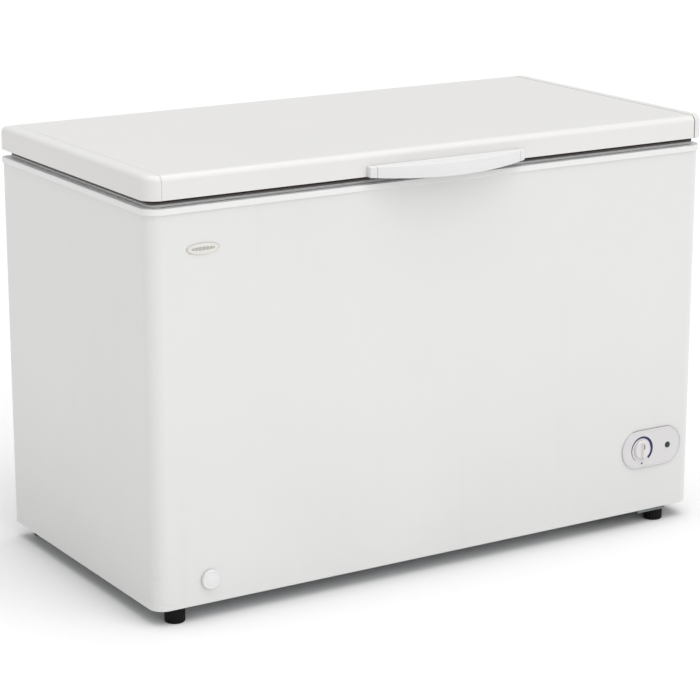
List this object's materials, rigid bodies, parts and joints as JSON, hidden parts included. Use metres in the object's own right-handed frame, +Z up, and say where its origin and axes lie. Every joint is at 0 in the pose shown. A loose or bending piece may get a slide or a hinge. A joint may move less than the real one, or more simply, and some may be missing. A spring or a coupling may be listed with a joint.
{
  "type": "chest freezer",
  "caption": "Low chest freezer with a spring-hinged foam lid, bow handle, thermostat panel, front drain, hanging basket and levelling feet.",
  "frame": {"origin": "on the floor, under the middle of the bounding box", "axes": "+X along the front to the right, +Y to the back, +Z up"},
  "size_m": [1.228, 0.688, 0.8235],
  "materials": {
    "white_steel": "gloss white enamel on sheet steel",
    "white_plastic": "satin white moulding",
    "zinc": "galvanised sheet steel",
    "liner": "embossed aluminium sheet",
    "foam": "rigid polyurethane foam",
    "rubber": "matt black rubber",
    "grey_vinyl": "soft grey vinyl seal",
    "black_paint": "gloss black enamel",
    "copper": "drawn copper tube",
    "tube_aluminium": "drawn aluminium tube",
    "dark_plastic": "black moulding",
    "green_lens": "translucent green",
    "champagne": "pale gold foil",
    "basket_wire": "white coated wire"
  },
  "bodies": {
    "cabinet": {"outer_shell": "white_steel", "back_panel": "zinc", "bottom_pan": "zinc", "machine_bay_liner": "zinc", "compressor_plate": "zinc", "rear_cover": "zinc", "thermostat": "zinc", "cabinet_foam": "foam", "liner_front": "liner", "liner_right": "liner", "liner_back": "liner", "liner_left": "liner", "liner_floor": "liner", "trim_front": "white_plastic", "trim_right": "white_plastic", "trim_back": "white_plastic", "trim_left": "white_plastic", "control_panel": "white_plastic", "side_grille": "white_plastic", "drain_tube": "white_plastic", "compressor": "black_paint", "cord_grommet": "rubber", "compressor_grommet_1": "rubber", "compressor_grommet_2": "rubber", "compressor_grommet_3": "rubber", "compressor_grommet_4": "rubber", "terminal_cover": "dark_plastic", "control_cable": "dark_plastic", "filter_drier": "copper", "condenser_coil": "copper", "suction_line": "copper", "capillary_tube": "copper", "evaporator_coil": "tube_aluminium", "led_lens": "green_lens", "badge_plate": "champagne", "hinge_base_left": "zinc", "hinge_pin_left": "zinc", "hinge_spring_left": "zinc", "hinge_cover_left": "white_plastic", "hinge_base_right": "zinc", "hinge_pin_right": "zinc", "hinge_spring_right": "zinc", "hinge_cover_right": "white_plastic"},
    "lid": {"lid_panel": "white_steel", "lid_end_cap_left": "white_plastic", "lid_end_cap_right": "white_plastic", "lid_foam": "foam", "lid_liner": "white_plastic", "lid_gasket": "grey_vinyl", "lid_handle": "white_plastic", "hinge_arm_left": "zinc", "hinge_arm_right": "zinc"},
    "knob": {"thermostat_knob": "white_plastic"},
    "drain_cap": {"drain_cap": "white_plastic"},
    "drain_stopper": {"drain_stopper": "rubber"},
    "basket": {"basket": "basket_wire"},
    "foot_front_left": {"foot_front_left": "rubber"},
    "foot_front_right": {"foot_front_right": "rubber"},
    "foot_rear_left": {"foot_rear_left": "rubber"},
    "foot_rear_right": {"foot_rear_right": "rubber"}
  },
  "joints": [
    {"name": "lid_hinge", "type": "hinge", "parent": "cabinet", "child": "lid", "pos_m": [0, 0.327, 0.774], "axis": [-1, 0, 0], "range_deg": [0, 85], "stiffness_Nm_per_rad": 12, "springref_deg": 88.81},
    {"name": "knob_turn", "type": "hinge", "parent": "cabinet", "child": "knob", "pos_m": [0.481, -0.2986, 0.16], "axis": [0, 1, 0], "range_deg": [-150, 150]},
    {"name": "drain_cap_pull", "type": "slide", "parent": "cabinet", "child": "drain_cap", "axis": [0, -1, 0], "range_m": [0, 0.04]},
    {"name": "drain_stopper_lift", "type": "slide", "parent": "cabinet", "child": "drain_stopper", "axis": [0, 0, 1], "range_m": [0, 0.03]},
    {"name": "basket_slide", "type": "slide", "parent": "cabinet", "child": "basket", "axis": [-1, 0, 0], "range_m": [0, 0.68]},
    {"name": "foot_front_left_turn", "type": "hinge", "parent": "cabinet", "child": "foot_front_left", "pos_m": [-0.561, -0.272, 0.02], "axis": [0, 0, 1], "range_deg": [-360, 360]},
    {"name": "foot_front_right_turn", "type": "hinge", "parent": "cabinet", "child": "foot_front_right", "pos_m": [0.534, -0.272, 0.02], "axis": [0, 0, 1], "range_deg": [-360, 360]},
    {"name": "foot_rear_left_turn", "type": "hinge", "parent": "cabinet", "child": "foot_rear_left", "pos_m": [-0.561, 0.286, 0.02], "axis": [0, 0, 1], "range_deg": [-360, 360]},
    {"name": "foot_rear_right_turn", "type": "hinge", "parent": "cabinet", "child": "foot_rear_right", "pos_m": [0.534, 0.286, 0.02], "axis": [0, 0, 1], "range_deg": [-360, 360]}
  ]
}
